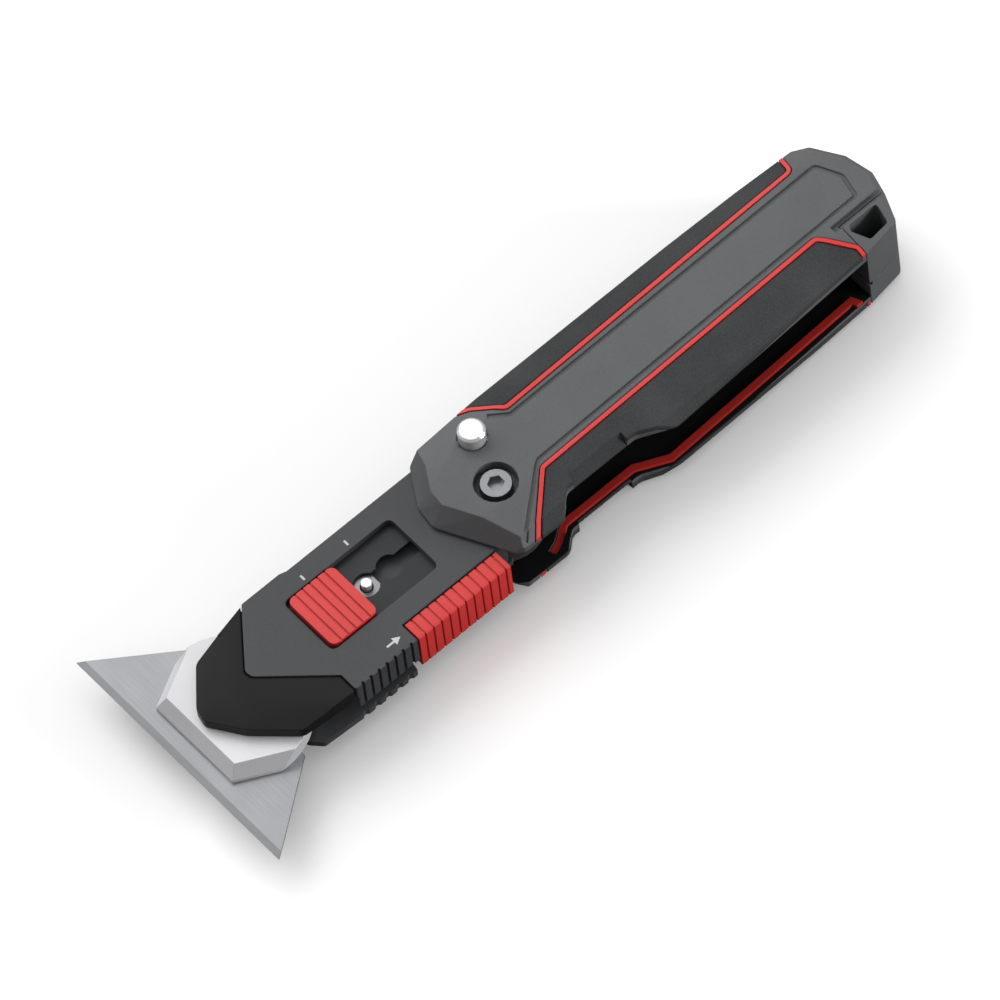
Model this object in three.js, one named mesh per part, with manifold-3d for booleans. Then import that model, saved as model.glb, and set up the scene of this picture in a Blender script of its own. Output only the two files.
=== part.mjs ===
// Folding scraper utility knife, millimetres, Z up.
// Worked out with the fold pivot at the origin, X toward the tail, Y toward the spine and the
// front face up. The whole group is shifted at the end so the origin is the bottom centre.
import * as THREE from 'three';
import { mergeVertices } from 'three/addons/utils/BufferGeometryUtils.js';
import Module from 'manifold-3d';

const wasm = await Module();
wasm.setup();

// Shared fits
const FIT = 0.3;
const SEAT = 0.15;
const ARC_STEPS = 4;
const ROUND_STEPS = 20;
const WIDE_ROUND_STEPS = 40;
const SWEEP_STEPS = 90;
const HEXAGON = 6;
const COIL_STEPS = 8;
const WIRE_STEPS = 3;
// How far a cut runs past a face, and past the whole knife
const OVERCUT = 1;
const FAR = 120;

// Handle thickness
const HANDLE_HALF = 11;
const BOLSTER_SLOT_HALF = HANDLE_HALF - 5.1;
const SLOT_HALF = HANDLE_HALF - 4;
const SLOT_START = 8;
const SLOT_END = 88;
const SPINE_WALL_INNER = 14.8;
const SPINE_WALL_START = -1;
const BLADE_PASS_TOP = -2.1;
const BLADE_PASS_BOTTOM = -3.5;
const TAIL_PARTING = -2.8;
const BLADE_SWEEP_RADIUS = 89.5;

// Handle plan, each corner with its rounding
const HANDLE_OUTLINE = [
  [-6.4, -12.4, 1.2], [-4.6, -13.6, 1], [5.4, -13.8, 2], [9.6, -9.9, 2.5], [27.6, -9.9, 4],
  [35.4, -13.6, 4], [88, -11.2], [97.2, -9.8, 1.5], [99.9, -3.4, 2], [101.4, 2, 3],
  [100.1, 8.5, 4], [96.2, 15, 3], [93, 16.7, 2], [79, 17.4], [60, 17.8], [10, 17.8],
  [-5.9, 16.9], [-8.6, 16.5, 1], [-13.5, 8.4, 3], [-14.2, 3, 3],
];
// Handle outer skin across the handle, belly to spine, as side and drop below the face
const SKIN_LINE = [[-16, 6.6], [-13.9, 4], [-11.9, 1.4], [-4.2, 0], [12.6, 0], [20, 2.6]];
const SKIN_FLOOR = 2;
const BOLSTER_EDGE = [[-8.6, 16.5], [-13.5, 8.4], [-14.2, 3], [-6.4, -12.4]];
const BOLSTER_BEVEL = 3;
const BOLSTER_LIP = 0.5;
const BOLSTER_OVERRUN = 3;
const TAIL_EDGE = [[97.2, -9.8], [99.9, -3.4], [101.4, 2], [100.1, 8.5], [96.2, 15], [93, 16.7]];
const TAIL_BEVEL = 1.2;
const TAIL_BEVEL_DROP = 1.6;
const TAIL_OVERRUN = 2;
const NOTCH_EDGE = [[11.5, -9.9], [25.5, -9.9]];
const NOTCH_BEVEL = 1.6;
const NOTCH_BEVEL_DROP = 1;
const WEDGE_REACH = 6;
const WEDGE_OVER = 0.5;

// Soft grips and red trims laid into the skin, each line corner with its rounding
const BELLY_TRIM_LINE = [
  [-2.9, -15.3], [8.9, -3.9, 1.5], [82.4, -2.4, 1.5], [87.5, -9.2, 1.5], [87.2, -13],
];
const SPINE_TRIM_LINE = [[3.4, 18.8], [7.6, 16.6, 1], [12.6, 11.3, 1.5], [89.4, 12.8, 1.5], [90.5, 18.5]];
const TRIM_WIDTH = 1;
const TRIM_PROUD = 0.2;
const TRIM_DEPTH = 1;
const GRIP_DEPTH = 1.4;
const BELLY_GRIP_LIMIT = -18;
const SPINE_GRIP_LIMIT = 22;
const PANEL_GROOVE_LINE = [
  [8.6, 12.4], [12.2, 9.6, 1], [93.4, 10.3, 1.2], [96, 4.8, 2], [94.9, -0.4, 0.8], [9.4, -1.9, 1.5],
  [-3.9, -12.9],
];
const PANEL_GROOVE_WIDTH = 0.9;
const PANEL_GROOVE_DEPTH = 0.4;
const LANYARD_HOLE = [
  [96.6, -4.5, 0.8], [95.7, -9, 0.8], [90.7, -9.5, 0.8], [88.8, -5.8, 0.6], [89.4, -4.5, 0.6],
];
const LANYARD_GROOVE_LINE = [[86.3, -3.2], [103, -3]];
const LANYARD_GROOVE_WIDTH = 1.7;
const LANYARD_GROOVE_DEPTH = 0.8;
const EYE_SPINE = -3.2;

// Red strip inside the rear slot edge
const LINER_LINE = [
  [3, -11.8], [5.6, -10.8], [9.2, -8.1], [27.4, -8.1], [34.6, -11.6], [84.2, -9.6], [85.4, -12.4],
];
const LINER_WIDTH = 1.5;
const LINER_HEIGHT = 0.8;
const LINER_KEY = 0.1;

// Pivot
const BARREL_RADIUS = 2.5;
const BOLT_HEAD_RADIUS = 3.45;
const BOLT_HEAD_TOP = HANDLE_HALF - 0.4;
const BOLT_HEAD_BOTTOM = HANDLE_HALF - 2.8;
const BOLT_CHAMFER = 0.25;
const BOLT_RECESS_RADIUS = 4.6;
const BOLT_RECESS_FLOOR = HANDLE_HALF - 3;
const SOCKET_ACROSS = 3.1;
const SOCKET_DEPTH = 1.6;
const THREAD_RADIUS = 1.6;
const THREAD_TIP = -HANDLE_HALF + 1.2;
const BARREL_TIP = -HANDLE_HALF + 3.1;
const WASHER_INNER = 2.8;
const WASHER_OUTER = 7.5;
const WASHER_TOP = BOLSTER_SLOT_HALF - SEAT;
const WASHER_THICKNESS = 0.6;

// Lock button
const BUTTON_X = 3.3;
const BUTTON_Y = 10.8;
const BUTTON_RADIUS = 2.9;
const BUTTON_TOP = HANDLE_HALF + 3.3;
const BUTTON_DOME = 0.5;
const BUTTON_FLANGE_RADIUS = 3.8;
const BUTTON_FLANGE_TOP = HANDLE_HALF - 1.8;
const BUTTON_FLANGE_BOTTOM = HANDLE_HALF - 2.8;
const BUTTON_NECK_RADIUS = 1.2;
const BUTTON_NECK_TIP = -HANDLE_HALF + 4.8;
const LOCK_SPRING_RADIUS = 1.1;
const LOCK_SPRING_WIRE = 0.25;
const LOCK_SPRING_TURNS = 4;
const LOCK_POCKET_FLOOR = -HANDLE_HALF + 1;

// Tail screws
const TAIL_SCREWS = [[93.4, 10.6], [96.4, 0.8]];
const TAIL_SCREW_HEAD = 2.4;
const TAIL_SCREW_HEAD_HEIGHT = 1.8;
const TAIL_SCREW_SHANK = 1.3;
const TAIL_SCREW_TIP = 4.5;

// Carrier
const CARRIER_HALF = 5.5;
const CARRIER_SPINE = 16;
const CARRIER_BELLY = -13.5;
const CARRIER_FRONT = -49;
const CARRIER_PLATE = 1.55;
const TANG_RADIUS = 9;
const TANG_HALF = 5;
const TANG_FACE_RADIUS = 8.2;
const SHOULDER = -1.6;
const BODY_OUTLINE = [
  [CARRIER_FRONT, CARRIER_BELLY, 0.6], [-9.3, CARRIER_BELLY], [-4.6, -7.2], [SHOULDER, -6], [SHOULDER, 8],
  [-8.8, CARRIER_SPINE, 1], [-41.4, CARRIER_SPINE, 0.6], [-43, 16.5, 0.6], [CARRIER_FRONT, 16.5],
];
const FACE_OUTLINE = [
  [-45.6, -12.2, 0.8], [-44.6, -12.2], [-44.6, 16.5], [-52.8, 16.5, 0.8], [-62.2, 4.6, 1.2],
  [-61.9, 2.8, 1.2],
];
const FACE_UNDERSIDE = 3.6;
const WINDOW_CENTRE_Y = 3.6;
const WINDOW_HALF = 7.5;
const WINDOW_FRONT = -46.7;
const WINDOW_BACK = -18.8;
const WINDOW_ROUND = 1.6;
const ROOF_UNDERSIDE = 3.9;
const CHANNEL_HALF = 7.7;
const CHANNEL_BACK = -16;
const CAVITY_TOP = 1.7;
const CARRIER_PARTING = -3.8;
const BLADE_POCKET_BACK = -23.5;
const BLADE_POCKET_SPINE = 7.7;
const RIB_WALL_BOTTOM = -2.2;
const RIB_COUNT = 7;
const RIB_FIRST = -47.4;
const RIB_PITCH = 2.1;
const RIB_SLOT = 0.6;
const RIB_SLOT_DEPTH = 0.45;
const CARRIER_SCREWS = [[-12.5, 12], [-12.5, -4.8], [-33, 13.4]];
const CARRIER_SCREW_HEAD = 1.9;
const CARRIER_SCREW_HEAD_HEIGHT = 0.9;
const CARRIER_SCREW_SHANK = 1;
const CARRIER_SCREW_TIP = 2;
const REAR_PLATE_OUTLINE = [
  [-60.8, -11.2, 1.5], [-58.4, -13.8, 1], [-48.2, -14.3], [-34.4, -14.3, 0.5], [-33.6, -8.6], [-4.6, -8.6],
  [SHOULDER, -6], [SHOULDER, 8], [-8.8, CARRIER_SPINE, 1], [-46, CARRIER_SPINE, 1], [-60.8, 12, 3],
];
const SCALLOP_COUNT = 5;
const SCALLOP_FIRST = -48;
const SCALLOP_PITCH = 2.9;
const SCALLOP_RADIUS = 0.8;
const SCALLOP_Y = -14.7;

// Nose cover
const NOSE_TOP = 5.2;
const NOSE_BOTTOM = 1.7;
const NOSE_OUTLINE = [
  [-49.3, -13.4, 0.4], [-49.3, 16.5], [-52.9, 16.4], [-60.5, 14.7], [-67.7, 13.2, 2.5],
  [-74.2, 5.6, 2], [-74.9, 2.5, 1.5], [-70.2, -4.8, 2], [-62.2, -12.6, 2.5], [-55.8, -13.2],
];
const NOSE_RIM = [[-67.7, 13.2], [-75, 4], [-70.2, -4.8], [-62.2, -12.6]];
const NOSE_SLOPE = 5.5;
const NOSE_DROP = 1.1;
const NOSE_GROOVE = 0.35;
const NOSE_SCREWS = [[-53.4, 11], [-51.4, -4.6]];
const NOSE_SCREW_HEAD = 1.6;
const NOSE_SCREW_HEAD_HEIGHT = 0.8;
const NOSE_SCREW_SHANK = 0.9;
const NOSE_SCREW_TIP = 4.7;
const PILOT_END = 4.9;

// Sliding carriage
const SLIDE_TRAVEL = 11.4;
const HOLDER_END_ROOM = 1.4;
const HOLDER_PIVOT_X = -68;
const HOLDER_PIVOT_Y = 2.6;
const CARRIAGE_TOP = 2.9;
const CARRIAGE_BOTTOM = 1.8;
const CARRIAGE_FRONT = -48.4;
const CARRIAGE_BACK = -29;
const TONGUE_HALF = 3.8;
const DETENT_TOP = 3.8;
const DETENT_BOTTOM = 3.2;
const DETENT_FRONT = -47.2;
const DETENT_BACK = -16.4;
const KEYHOLE_SLOT = 3;
const KEYHOLE_FRONT = -42;
const KEYHOLE_BACK = -17.4;
const KEYHOLE_LOBES = [-31.5, -25.5];
const KEYHOLE_LOBE_RADIUS = 2.75;
const SLIDER_FRONT = -46;
const SLIDER_LENGTH = 11.8;
const SLIDER_HALF = 7;
const SLIDER_TOP = 6;
const SLIDER_ROUND = 1.6;
const SLIDER_GROOVES = 5;
const SLIDER_GROOVE_PITCH = 1.9;
const SLIDER_GROOVE_WIDTH = 0.4;
const SLIDER_GROOVE_DEPTH = 0.4;
const SHANK_X = -40;
const SHANK_RADIUS = 1.2;
const SHANK_TIP = 2;
const GUIDE_PIN_X = -31.5;
const GUIDE_PIN_RADIUS = 1.1;
const GUIDE_PIN_TOP = 4.7;
const RIVET_RADIUS = 1.5;
const RIVET_HEAD = 2.4;
const RIVET_HEAD_HEIGHT = 0.6;

// Turning holder and blade
const HOLDER_RADIUS = 16.2;
const HOLDER_TOP = 1.4;
const HOLDER_BOTTOM = -2.45;
const HOLDER_FRONT = -78;
const HOLDER_FRONT_HALF = 11.4;
const HOLDER_FLARE = 0.53;
const HOLDER_FLARE_RUN = 30;
const HOLDER_BEVEL = 2;
const HOLDER_LIP = 0.9;
const HOLDER_LAND = -63.2;
const HOLDER_LAND_RADIUS = 14;
const BLADE_EDGE = -82.5;
const BLADE_LENGTH = 61;
const BLADE_WIDTH = 19;
const BLADE_TOP = -2.5;
const BLADE_THICKNESS = 0.6;
const BLADE_END_RUN = 14.05;
const BLADE_GRIND = 1.45;
const BLADE_EDGE_FLAT = 0.06;
const BLADE_NOTCH_OFFSET = 5;
const BLADE_NOTCH_WIDTH = 3;
const BLADE_NOTCH_DEPTH = 2.4;
const CLAMP_TOP = -3.15;
const CLAMP_THICKNESS = 0.5;
const CLAMP_FRONT = -76.5;
const CLAMP_RADIUS = 15;
const CLAMP_SCREW_X = -58.6;
const CLAMP_SCREW_HEAD = 1.9;
const CLAMP_SCREW_SHANK = 1;
const CLAMP_SCREW_TIP = 0.4;

// Side slide that frees the holder to turn
const LATCH_FRONT = -32.5;
const LATCH_BACK = -8.6;
const LATCH_TOP = 5.2;
const LATCH_BOTTOM = -5.3;
const LATCH_INNER_TOP = 3.7;
const LATCH_INNER_BOTTOM = -3.6;
const LATCH_FLANGE = -9.1;
const LATCH_WALL = 1.1;
const LATCH_RIBS = 11;
const LATCH_RIB_PITCH = 2.1;
const LATCH_RIB_START = 1.5;
const LATCH_RIB_SLOT = 0.4;
const LATCH_ROUND = 0.5;
const LATCH_RIB_DEPTH = 0.35;
const LATCH_NOTCH_FRONT = -33;
const LATCH_NOTCH_SIDE = -8.8;
const RAIL_TOP = 3.3;
const RAIL_BOTTOM = 0.1;
const RAIL_SIDE = -11.9;
const RAIL_FRONT = -31.6;
const RAIL_BACK = -11.6;
const SPRING_POCKET_FRONT = -24;
const SPRING_POCKET_BACK = -13;
const SPRING_POCKET_FLOOR = 1;
const SPRING_POCKET_SIDE = -9.6;
const LUG_LENGTH = 1.2;
const LATCH_SPRING_RADIUS = 0.75;
const LATCH_SPRING_WIRE = 0.2;
const LATCH_SPRING_TURNS = 6;
const BAR_TOP = -0.3;
const BAR_BOTTOM = -1.7;
const BAR_FRONT = -43.4;
const BAR_BACK = -8;
const BAR_NEAR = -12;
const BAR_FAR = -9.2;
const BAR_PIN_X = -20;
const BAR_PIN_RADIUS = 0.8;
const BAR_PIN_DEPTH = 0.8;
const DRIVE_SHARE = 0.45;

// Finishes
const SHELL = { color: 0x5c5d5f, roughness: 0.5, metalness: 0.35 };
const GRIP = { color: 0x3f4041, roughness: 0.85, metalness: 0 };
const RED = { color: 0xd93a3a, roughness: 0.45, metalness: 0 };
const BLACK = { color: 0x1d1d1e, roughness: 0.5, metalness: 0 };
const CARRIER_GREY = { color: 0x565759, roughness: 0.5, metalness: 0.3 };
const SATIN = { color: 0xe4e5e8, roughness: 0.35, metalness: 0.9 };
const STEEL = { color: 0xadafb3, roughness: 0.3, metalness: 1 };
const BRIGHT = { color: 0xe2e4e7, roughness: 0.2, metalness: 1 };
const DARK_STEEL = { color: 0x4b4d50, roughness: 0.4, metalness: 0.9 };

/** Turn a three geometry into a closed solid. */
function toSolid(geometry) {
  const bare = geometry.clone();
  bare.deleteAttribute('normal');
  bare.deleteAttribute('uv');
  const merged = mergeVertices(bare, 1e-4);
  const vertProperties = new Float32Array(merged.attributes.position.array);
  const triVerts = new Uint32Array(merged.index.array);
  return new wasm.Manifold(new wasm.Mesh({ numProp: 3, vertProperties, triVerts }));
}

/** Take the other solids away from the first. */
function cut(first, ...others) {
  return others.reduce((rest, other) => rest.subtract(other), first);
}

/** Join solids into one. */
function join(first, ...others) {
  return others.reduce((whole, other) => whole.add(other), first);
}

/** Reflect a solid through the middle plane of the knife. */
function mirrored(solid) {
  const mesh = solid.getMesh();
  const vertProperties = Float32Array.from(mesh.vertProperties, (value, i) => (i % 3 === 2 ? -value : value));
  const triVerts = Uint32Array.from(mesh.triVerts);
  for (let i = 0; i < triVerts.length; i += 3) {
    [triVerts[i + 1], triVerts[i + 2]] = [triVerts[i + 2], triVerts[i + 1]];
  }
  return new wasm.Manifold(new wasm.Mesh({ numProp: 3, vertProperties, triVerts }));
}

/** Draw a closed outline from corners given as x, y and an optional rounding. */
function outline(corners) {
  const shape = new THREE.Shape();
  const count = corners.length;
  corners.forEach(([x, y, round = 0], i) => {
    const here = new THREE.Vector2(x, y);
    const [lastX, lastY] = corners[(i + count - 1) % count];
    const [nextX, nextY] = corners[(i + 1) % count];
    const back = new THREE.Vector2(lastX, lastY).sub(here).normalize();
    const ahead = new THREE.Vector2(nextX, nextY).sub(here).normalize();
    const reach = round / Math.tan(Math.acos(back.dot(ahead)) / 2);
    const start = here.clone().addScaledVector(back, reach);
    const end = here.clone().addScaledVector(ahead, reach);
    if (i === 0) {
      shape.moveTo(start.x, start.y);
    } else {
      shape.lineTo(start.x, start.y);
    }
    if (round > 0) {
      shape.quadraticCurveTo(x, y, end.x, end.y);
    }
  });
  shape.closePath();
  return shape;
}

/** Upright plate of a closed outline between two heights. */
function plate(corners, low, high) {
  const options = { depth: high - low, bevelEnabled: false, curveSegments: ARC_STEPS };
  const geometry = new THREE.ExtrudeGeometry(outline(corners), options);
  geometry.translate(0, 0, low);
  return toSolid(geometry);
}

/** Bar along X whose section is drawn across the knife as side and height. */
function bar(corners, start, end) {
  const options = { depth: end - start, bevelEnabled: false, curveSegments: ARC_STEPS };
  const geometry = new THREE.ExtrudeGeometry(outline(corners), options);
  const across = new THREE.Vector3(0, 1, 0);
  const up = new THREE.Vector3(0, 0, 1);
  const along = new THREE.Vector3(1, 0, 0);
  geometry.applyMatrix4(new THREE.Matrix4().makeBasis(across, up, along));
  geometry.translate(start, 0, 0);
  return toSolid(geometry);
}

/** Plain box between two corners. */
function block(x0, x1, y0, y1, z0, z1) {
  const geometry = new THREE.BoxGeometry(x1 - x0, y1 - y0, z1 - z0);
  geometry.translate((x0 + x1) / 2, (y0 + y1) / 2, (z0 + z1) / 2);
  return toSolid(geometry);
}

/** Upright round post, tapered when the two radii differ. */
function post(x, y, low, high, radius, topRadius = radius, steps = ROUND_STEPS) {
  const geometry = new THREE.CylinderGeometry(topRadius, radius, high - low, steps);
  geometry.rotateX(Math.PI / 2);
  geometry.translate(x, y, (low + high) / 2);
  return toSolid(geometry);
}

/** Corners of a box with rounded corners between two ends, centred across the knife. */
function roundedBox(front, back, middle, half, round) {
  return [
    [front, middle - half, round], [back, middle - half, round],
    [back, middle + half, round], [front, middle + half, round],
  ];
}

/** Line moved to its left by a distance, with mitred corners and even rounding. */
function beside(line, distance) {
  const points = line.map(([x, y]) => new THREE.Vector2(x, y));
  return points.map((here, i) => {
    const before = i > 0 ? here.clone().sub(points[i - 1]).normalize() : null;
    const after = i < line.length - 1 ? points[i + 1].clone().sub(here).normalize() : null;
    const first = before ?? after;
    const second = after ?? before;
    const normal = new THREE.Vector2(-first.y - second.y, first.x + second.x).normalize();
    const stretch = distance / normal.dot(new THREE.Vector2(-first.y, first.x));
    const [, , round = 0] = line[i];
    const moved = round > 0 ? round - Math.sign(first.cross(second)) * distance : 0;
    return [here.x + normal.x * stretch, here.y + normal.y * stretch, moved];
  });
}

/** Upright strip that follows a line with an even width. */
function strip(line, width, low, high) {
  const left = beside(line, width / 2);
  const right = beside(line, -width / 2);
  return plate([...left, ...right.reverse()], low, high);
}

/** Wedge that slopes away the rim along one straight edge, the solid lying to the left of the edge. */
function wedge(from, to, inset, low, high, overrun) {
  const start = new THREE.Vector2(...from);
  const end = new THREE.Vector2(...to);
  const along = end.clone().sub(start).normalize();
  const over = Math.sign(high - low) * WEDGE_OVER;
  const lean = inset * (1 + over / (high - low));
  const section = [[0, low], [WEDGE_REACH, low], [WEDGE_REACH, high + over], [-lean, high + over]];
  const depth = start.distanceTo(end) + 2 * overrun;
  const geometry = new THREE.ExtrudeGeometry(outline(section), { depth, bevelEnabled: false });
  const outward = new THREE.Vector3(along.y, -along.x, 0);
  const up = new THREE.Vector3(0, 0, 1);
  const back = new THREE.Vector3(-along.x, -along.y, 0);
  geometry.applyMatrix4(new THREE.Matrix4().makeBasis(outward, up, back));
  geometry.translate(end.x + along.x * overrun, end.y + along.y * overrun, 0);
  return toSolid(geometry);
}

/** Wedges along each stretch of a line. */
function wedges(line, inset, low, high, overrun) {
  return line.slice(1).map((point, i) => wedge(line[i], point, inset, low, high, overrun));
}

/** Coil of wire round an axis from one point to another. */
function coil(from, to, radius, wire, turns) {
  const start = new THREE.Vector3(...from);
  const axis = new THREE.Vector3(...to).sub(start);
  const side = new THREE.Vector3(axis.z, axis.x, axis.y).cross(axis).normalize();
  const other = axis.clone().normalize().cross(side);
  const steps = turns * COIL_STEPS;
  const points = Array.from({ length: steps + 1 }, (_, i) => {
    const angle = (2 * Math.PI * i) / COIL_STEPS;
    const point = start.clone().addScaledVector(axis, i / steps);
    point.addScaledVector(side, radius * Math.cos(angle));
    return point.addScaledVector(other, radius * Math.sin(angle));
  });
  const section = new THREE.Shape();
  section.absarc(0, 0, wire, 0, 2 * Math.PI, false);
  const extrudePath = new THREE.CatmullRomCurve3(points);
  const geometry = new THREE.ExtrudeGeometry(section, { steps, curveSegments: WIRE_STEPS, extrudePath });
  return toSolid(geometry);
}

const root = new THREE.Group();
root.name = 'scraper_utility_knife';

/** Add one named piece with its finish. */
function piece(name, solid, finish) {
  const mesh = solid.getMesh();
  const geometry = new THREE.BufferGeometry();
  geometry.setAttribute('position', new THREE.BufferAttribute(new Float32Array(mesh.vertProperties), 3));
  geometry.setIndex(new THREE.BufferAttribute(new Uint32Array(mesh.triVerts), 1));
  geometry.computeVertexNormals();
  const item = new THREE.Mesh(geometry, new THREE.MeshStandardMaterial(finish));
  item.name = name;
  root.add(item);
}

/** Everything under the handle skin when the skin is moved by a height. */
function underSkin(shift) {
  const line = SKIN_LINE.map(([side, drop]) => [side, HANDLE_HALF - drop + shift]);
  const first = line[0];
  const last = line[line.length - 1];
  return bar([[first[0], SKIN_FLOOR], [last[0], SKIN_FLOOR], ...line.reverse()], -FAR, FAR);
}

/** Outer body of one scale, drawn for the front, with the skin moved by a height. */
function scaleBody(shift) {
  const bolsterLip = BOLSTER_SLOT_HALF + BOLSTER_LIP;
  const body = plate(HANDLE_OUTLINE, BOLSTER_SLOT_HALF, HANDLE_HALF + TRIM_PROUD).intersect(underSkin(shift));
  return cut(
    body,
    ...wedges(BOLSTER_EDGE, BOLSTER_BEVEL, bolsterLip, HANDLE_HALF + shift, BOLSTER_OVERRUN),
    ...wedges(TAIL_EDGE, TAIL_BEVEL, HANDLE_HALF - TAIL_BEVEL_DROP, HANDLE_HALF + shift, TAIL_OVERRUN),
    ...wedges(NOTCH_EDGE, NOTCH_BEVEL, SLOT_HALF + shift, HANDLE_HALF - NOTCH_BEVEL_DROP + shift, 0),
  );
}

/** Plan region on the belly side of the belly trim. */
function bellyRegion(gap) {
  const line = beside(BELLY_TRIM_LINE, -TRIM_WIDTH / 2 - gap);
  const edge = [[SLOT_END, BELLY_GRIP_LIMIT], [BELLY_TRIM_LINE[0][0], BELLY_GRIP_LIMIT]];
  return plate([...line, ...edge], BOLSTER_SLOT_HALF - OVERCUT, HANDLE_HALF + OVERCUT);
}

/** Plan region on the spine side of the spine trim. */
function spineRegion(gap) {
  const line = beside(SPINE_TRIM_LINE, TRIM_WIDTH / 2 + gap);
  const edge = [[SPINE_TRIM_LINE.at(-1)[0], SPINE_GRIP_LIMIT], [SPINE_TRIM_LINE[0][0], SPINE_GRIP_LIMIT]];
  return plate([...line, ...edge], BOLSTER_SLOT_HALF - OVERCUT, HANDLE_HALF + OVERCUT);
}

/** Space for the folded carrier between the scales. */
function slotSpace() {
  return block(SLOT_START, SLOT_END, -FAR, SPINE_WALL_INNER, -SLOT_HALF, SLOT_HALF);
}

/** One bare scale drawn for the front, its spine wall and tail reaching down to the given heights. */
function scale(wallEnd, tailEnd) {
  const top = HANDLE_HALF + OVERCUT;
  const wallPlan = plate(HANDLE_OUTLINE, wallEnd, BOLSTER_SLOT_HALF);
  const wall = wallPlan.intersect(block(SPINE_WALL_START, SLOT_END, SPINE_WALL_INNER, FAR, wallEnd, top));
  const tailPlan = plate(HANDLE_OUTLINE, tailEnd, BOLSTER_SLOT_HALF);
  const tail = tailPlan.intersect(block(SLOT_END, FAR, -FAR, FAR, tailEnd, top));
  const whole = join(scaleBody(0), wall, tail);
  const pocketFloor = scaleBody(-GRIP_DEPTH - SEAT);
  const trimFloor = underSkin(-TRIM_DEPTH - SEAT);
  const trimSlot = TRIM_WIDTH + 2 * SEAT;
  const low = BOLSTER_SLOT_HALF - OVERCUT;
  return cut(
    whole,
    slotSpace(),
    cut(bellyRegion(0), pocketFloor),
    cut(spineRegion(0), pocketFloor),
    cut(strip(BELLY_TRIM_LINE, trimSlot, low, top), trimFloor),
    cut(strip(SPINE_TRIM_LINE, trimSlot, low, top), trimFloor),
    cut(strip(PANEL_GROOVE_LINE, PANEL_GROOVE_WIDTH, low, top), underSkin(-PANEL_GROOVE_DEPTH)),
    cut(strip(LANYARD_GROOVE_LINE, LANYARD_GROOVE_WIDTH, low, top), underSkin(-LANYARD_GROOVE_DEPTH)),
    plate(LANYARD_HOLE, -FAR, FAR),
    post(0, 0, BOLT_RECESS_FLOOR, top, BOLT_RECESS_RADIUS),
    post(0, 0, 0, top, BARREL_RADIUS + FIT),
  );
}

/** Soft grip on the belly side, drawn for the front. */
function bellyGrip() {
  const skin = cut(scaleBody(0), scaleBody(-GRIP_DEPTH));
  return cut(skin.intersect(bellyRegion(SEAT)), slotSpace());
}

/** Soft grip on the spine side, drawn for the front. */
function spineGrip() {
  return cut(scaleBody(0), scaleBody(-GRIP_DEPTH)).intersect(spineRegion(SEAT));
}

/** Red trim line, drawn for the front. */
function trim(line) {
  const skin = cut(scaleBody(TRIM_PROUD), underSkin(-TRIM_DEPTH));
  return cut(skin.intersect(strip(line, TRIM_WIDTH - SEAT, 0, FAR)), slotSpace());
}

/** Screw with a flat head at the bottom and its shank pointing up. */
function screwUp(x, y, bottom, headHeight, headRadius, shankRadius, tip) {
  const drive = headRadius * DRIVE_SHARE;
  const head = cut(
    post(x, y, bottom, bottom + headHeight, headRadius),
    post(x, y, bottom - OVERCUT, bottom + headHeight / 2, drive, drive, HEXAGON),
  );
  return join(head, post(x, y, bottom + headHeight / 2, tip, shankRadius));
}

// Handle scales
const bladeSweep = post(0, 0, BLADE_PASS_BOTTOM, BLADE_PASS_TOP, BLADE_SWEEP_RADIUS, BLADE_SWEEP_RADIUS,
  SWEEP_STEPS);
const buttonBore = join(
  post(BUTTON_X, BUTTON_Y, 0, HANDLE_HALF + OVERCUT, BUTTON_RADIUS + FIT),
  post(BUTTON_X, BUTTON_Y, 0, BUTTON_FLANGE_TOP + FIT, BUTTON_FLANGE_RADIUS + FIT),
);
const tailPilots = TAIL_SCREWS.map(([x, y]) => {
  return post(x, y, -FAR, TAIL_SCREW_TIP + FIT, TAIL_SCREW_SHANK + FIT);
});
const tailRecesses = TAIL_SCREWS.map(([x, y]) => {
  const top = -HANDLE_HALF + FIT + TAIL_SCREW_HEAD_HEIGHT + SEAT;
  return post(x, y, -FAR, top, TAIL_SCREW_HEAD + FIT);
});
const eyeCorner = block(SLOT_END, FAR, -FAR, EYE_SPINE, -FAR, FAR);
const eyeSeat = block(SLOT_END - SEAT, FAR, -FAR, EYE_SPINE + SEAT, -FAR, FAR);
const frontScale = cut(scale(BLADE_PASS_TOP, TAIL_PARTING + SEAT), bladeSweep, buttonBore, ...tailPilots);
piece('front_scale', cut(frontScale, eyeSeat), SHELL);
piece('front_lanyard_eye', frontScale.intersect(eyeCorner), SHELL);
const linerBed = strip(LINER_LINE, LINER_WIDTH + 2 * SEAT, -SLOT_HALF - LINER_KEY - SEAT, 0);
const rearBlank = mirrored(scale(-BLADE_PASS_BOTTOM, SEAT - TAIL_PARTING));
const lockPocket = post(BUTTON_X, BUTTON_Y, LOCK_POCKET_FLOOR, 0, BUTTON_NECK_RADIUS + FIT);
const rearScale = cut(rearBlank, bladeSweep, lockPocket, linerBed, ...tailPilots, ...tailRecesses);
piece('rear_scale', cut(rearScale, eyeSeat), SHELL);
piece('rear_lanyard_eye', rearScale.intersect(eyeCorner), SHELL);

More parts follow.
